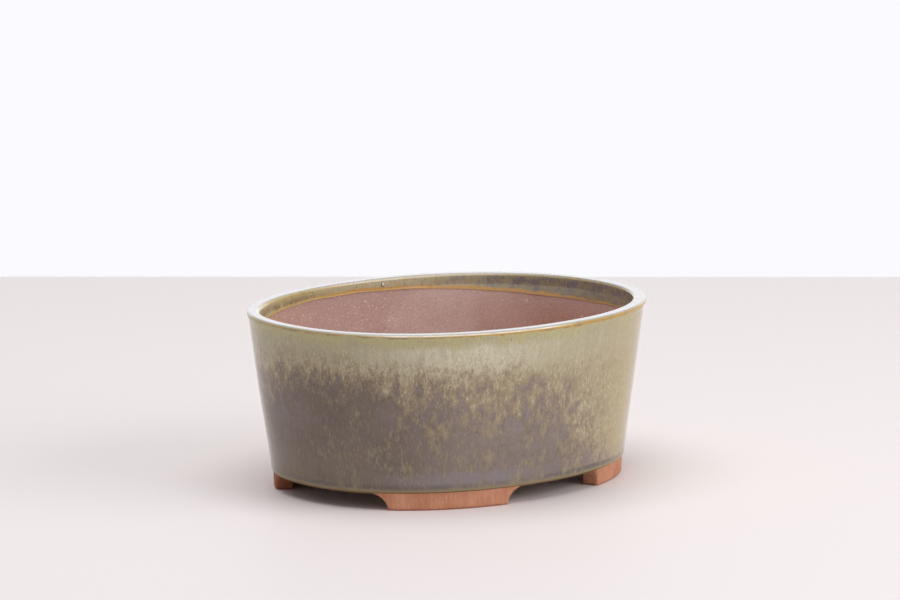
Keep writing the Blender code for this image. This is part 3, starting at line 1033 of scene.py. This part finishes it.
def levelRing(outline, share, height, uneven):
    row = []
    for point in outline:
        spot = point * share
        lump = noise.noise(Vector((spot.x, spot.y, height)) / floorForm["unevenSize"]) if share else 0
        row.append((spot.x, spot.y, height + uneven * lump))
    return row


def buildFloor():
    # from the middle of the upper face out to the edge, and back in below
    form = floorForm
    edge = innerInset(section["underside"]) + form["edgeGap"]
    outline = [ovalPoint(angle, edge)[0] for angle in roundAngles(form["turns"])]
    shares = [ring / form["rings"] for ring in range(form["rings"] + 1)]
    rows = [levelRing(outline, share, section["floorTop"], form["uneven"]) for share in shares]
    rows += [levelRing(outline, share, section["underside"], 0) for share in reversed(shares)]
    slab = loftMesh("clay_floor", rows, endCaps=True, closedRound=False)
    plugs = [holeCutter(*(size * mm for size in hole)) for hole in form["holes"]]
    for cutter in plugs:
        cut = slab.modifiers.new("hole", "BOOLEAN")
        cut.object = cutter
        cut.operation = "DIFFERENCE"
        cut.solver = "EXACT"
    graph = bpy.context.evaluated_depsgraph_get()
    mesh = bpy.data.meshes.new_from_object(slab.evaluated_get(graph))
    slab.modifiers.clear()
    slab.data = mesh
    for cutter in plugs:
        bpy.data.objects.remove(cutter, do_unlink=True)
    smooth(mesh)
    return slab


dress(buildFloor(), clayPaint, "bare_clay", "floor_slab")
print("clay made")


# the feet

footForm = dict(
    thickness=7.2 * mm,
    taper=0.3 * mm,
    endRadius=8.0 * mm,
    steepRadius=3.2 * mm,  # one end was cut nearly upright
    sideGap=51.0 * mm,
    sideShift=2.0 * mm,
    endGap=60.4 * mm,
    endShift=-1.8 * mm,
    edgeRound=0.7 * mm,
    overlap=0.3 * mm,  # how far a foot reaches into the underside
    coveSteps=16,
    cornerSteps=5,
    faceSteps=4,
    flatStep=1.6 * mm,
    coveTop=math.radians(88),  # the cove stops just short of level
    spareTurn=math.radians(14),  # outline measured past both ends of a foot
    outlineSteps=400,
)


def angleAt(axis, reach, inset):
    # the angle in the first quarter where the outline lies this far out along X (0) or Y (1)
    near, far = (math.pi / 2, 0.0) if axis == 0 else (0.0, math.pi / 2)
    for _ in range(40):
        middle = (near + far) / 2
        if ovalPoint(middle, inset)[0][axis] < reach:
            near = middle
        else:
            far = middle
    return (near + far) / 2


def footEnd(radius):
    # one end of a foot's underline as (distance, height, normal): cove, small corner, up to the flat
    form = footForm
    fillet = form["edgeRound"]
    drop = max(radius - section["underside"], 0.0)
    span = math.sqrt(radius**2 - drop**2)
    lift = max(section["underside"] - radius, 0.0)  # an upright stretch below a small cove
    if lift > 0:
        start, cornerX = 0.0, fillet
    else:
        cornerX = math.sqrt((radius + fillet) ** 2 - (drop + fillet) ** 2) - span
        start = math.atan2(drop + fillet, cornerX + span)
    points = []
    for step in range(form["coveSteps"] + 1):
        turn = form["coveTop"] + (start - form["coveTop"]) * step / form["coveSteps"]
        height = lift - drop + radius * math.sin(turn)
        points.append((-span + radius * math.cos(turn), height, math.cos(turn), math.sin(turn)))
    for step in range(1, form["cornerSteps"] + 1):
        turn = start + (math.pi / 2 - start) * step / form["cornerSteps"]
        across, up = math.cos(turn), math.sin(turn)
        points.append((cornerX - fillet * across, fillet * (1 - up), across, up))
    return points, cornerX


def footPath(length, firstRadius, lastRadius):
    first, firstFlat = footEnd(firstRadius)
    last, lastFlat = footEnd(lastRadius)
    flat = length - firstFlat - lastFlat
    count = max(2, round(flat / footForm["flatStep"]))
    path = first + [(firstFlat + flat * step / count, 0.0, 0.0, 1.0) for step in range(1, count)]
    return path + [(length - x, z, -nx, nz) for x, z, nx, nz in reversed(last)]


def readAt(x, xs, ys):
    # the value of ys at x, on straight lines between rising xs
    k = min(max(bisect.bisect_right(xs, x) - 1, 0), len(xs) - 2)
    return ys[k] + (ys[k + 1] - ys[k]) * (x - xs[k]) / (xs[k + 1] - xs[k])


def buildFoot(name, side, end, sideRadius):
    form = footForm
    outer = outerInset(section["underside"]) + section["glazeDepth"]
    cornerInset = outer + form["taper"]
    atSide = angleAt(0, form["sideGap"] / 2 + side * form["sideShift"], cornerInset)
    atEnd = angleAt(1, form["endGap"] / 2 + end * form["endShift"], cornerInset)
    # distance along the corner's outline, to place points by length
    steps, spare = form["outlineSteps"], form["spareTurn"]
    angles = [atEnd - spare + (atSide - atEnd + 2 * spare) * k / steps for k in range(steps + 1)]
    places = [ovalPoint(a, cornerInset)[0] for a in angles]
    run = [0.0]
    for before, after in zip(places, places[1:]):
        run.append(run[-1] + (after - before).length)

    first, last = readAt(atEnd, angles, run), readAt(atSide, angles, run)
    top = section["underside"] + form["overlap"]
    rounding, faceSteps = form["edgeRound"], form["faceSteps"]
    innerFace = outer + form["thickness"]
    flat = form["thickness"] - form["taper"] - 2 * rounding
    corner = [(rounding * (1 - sine), rounding * (1 - cosine)) for _, sine, cosine in quarter(4)[1:]]

    def outerFace(z):
        # leans in by the taper
        return outer + form["taper"] * (1 - z / section["underside"])

    rows = []
    for distance, height, nx, nz in footPath(last - first, form["endRadius"], sideRadius):
        along, up = distance + nx * rounding, height + nz * rounding
        heights = [top + (up - top) * step / faceSteps for step in range(faceSteps + 1)]
        corners = [(distance + nx * lift, move, height + nz * lift) for lift, move in corner]
        line = [(along, outerFace(max(z, 0)), z) for z in heights]
        line += [(reach, outerFace(0) + move, z) for reach, move, z in corners]
        line += [(distance, outerFace(0) + rounding + flat * step / 3, height) for step in (1, 2)]
        line += [(reach, innerFace - move, z) for reach, move, z in reversed(corners)]
        line += [(along, innerFace, z) for z in reversed(heights)]
        row = []
        for reach, inset, z in line:
            point = ovalPoint(readAt(first + reach, run, angles), inset)[0]
            row.append((point.x * side, point.y * end, min(z, top)))
        rows.append(row)
    return loftMesh(name, rows, endCaps=True, closedRound=False)


for end, depthName in ((-1, "front"), (1, "back")):
    for side, handName in ((-1, "left"), (1, "right")):
        node = f"foot_{depthName}_{handName}"
        sideRadius = footForm["steepRadius" if node == "foot_front_right" else "endRadius"]
        dress(buildFoot("clay_" + node, side, end, sideRadius), footPaint, "foot_clay", node)
print("feet made")


# stage, lamps and camera

stageLook = dict(
    halfSize=0.5,
    turn=-45,  # degrees, so that its far edge lies square to the view
    paint={"Base Color": rgb(246, 238, 238), "Roughness": 0.6, "Specular IOR Level": 0.2},
)


def buildStage():
    shape = bmesh.new()
    bmesh.ops.create_grid(shape, x_segments=8, y_segments=8, size=stageLook["halfSize"])
    turn = Matrix.Rotation(math.radians(stageLook["turn"]), 3, "Z")
    bmesh.ops.rotate(shape, verts=shape.verts, matrix=turn)
    mesh = bpy.data.meshes.new("table")
    shape.to_mesh(mesh)
    shape.free()
    mesh.materials.append(startMaterial("table_top", *stageLook["paint"].items())[0])
    addObject("table", mesh)


lampLook = dict(
    key=dict(place=(0.59, -1.325, 0.72), size=(1.5, 0.9), power=11.0),
    top=dict(place=(-0.2, 0.0, 1.7), size=(1.6, 1.6), power=17.0),
    back=dict(place=(1.3, 1.3, 0.40), size=(2.4, 0.6), power=2.5),
)
lampAim = (0, 0, 0.04)
worldLook = dict(
    soft=((1, 1, 1, 1), 0.32),  # colour and strength of the light on the pot
    seen=(rgb(251, 251, 255), 1.0),  # and of the background
)


def turnTo(thing, aim):
    thing.rotation_euler = (Vector(aim) - thing.location).to_track_quat("-Z", "Y").to_euler()


def buildLamps():
    for name, look in lampLook.items():
        lamp = bpy.data.lights.new(name, "AREA")
        lamp.shape = "RECTANGLE"
        lamp.size, lamp.size_y = look["size"]
        lamp.energy = look["power"]
        holder = addObject(name, lamp)
        holder.location = look["place"]
        turnTo(holder, lampAim)
        holder.visible_camera = False


def buildWorld():
    world = bpy.data.worlds.new("studio")
    bpy.context.scene.world = world
    world.use_nodes = True
    tree = world.node_tree
    rays = tree.nodes.new("ShaderNodeLightPath")
    seen = Wire(rays.outputs["Is Camera Ray"])
    for ray in ("Is Glossy Ray", "Is Transmission Ray"):
        seen = seen.most(Wire(rays.outputs[ray]))
    mix = tree.nodes.new("ShaderNodeMixShader")
    tree.links.new(seen.socket, mix.inputs[0])
    backgrounds = (tree.nodes["Background"], tree.nodes.new("ShaderNodeBackground"))
    for number, (background, name) in enumerate(zip(backgrounds, ("soft", "seen")), 1):
        background.inputs["Color"].default_value = worldLook[name][0]
        background.inputs["Strength"].default_value = worldLook[name][1]
        tree.links.new(background.outputs[0], mix.inputs[number])
    tree.links.new(mix.outputs[0], tree.nodes["World Output"].inputs["Surface"])


cameraLook = dict(
    place=(-1.5093, -1.5165, 0.4228),
    aim=(0.0003, -0.0003, 0.0708),
    lens=220.0,
    sensor=36.0,
)


def buildCamera():
    data = bpy.data.cameras.new("camera")
    data.lens = cameraLook["lens"]
    data.sensor_width = cameraLook["sensor"]
    camera = addObject("camera", data)
    camera.location = cameraLook["place"]
    turnTo(camera, cameraLook["aim"])
    bpy.context.scene.camera = camera


buildStage()
buildLamps()
buildWorld()
buildCamera()
bpy.context.scene.view_settings.view_transform = "Standard"
print("stage, lamps and camera made")
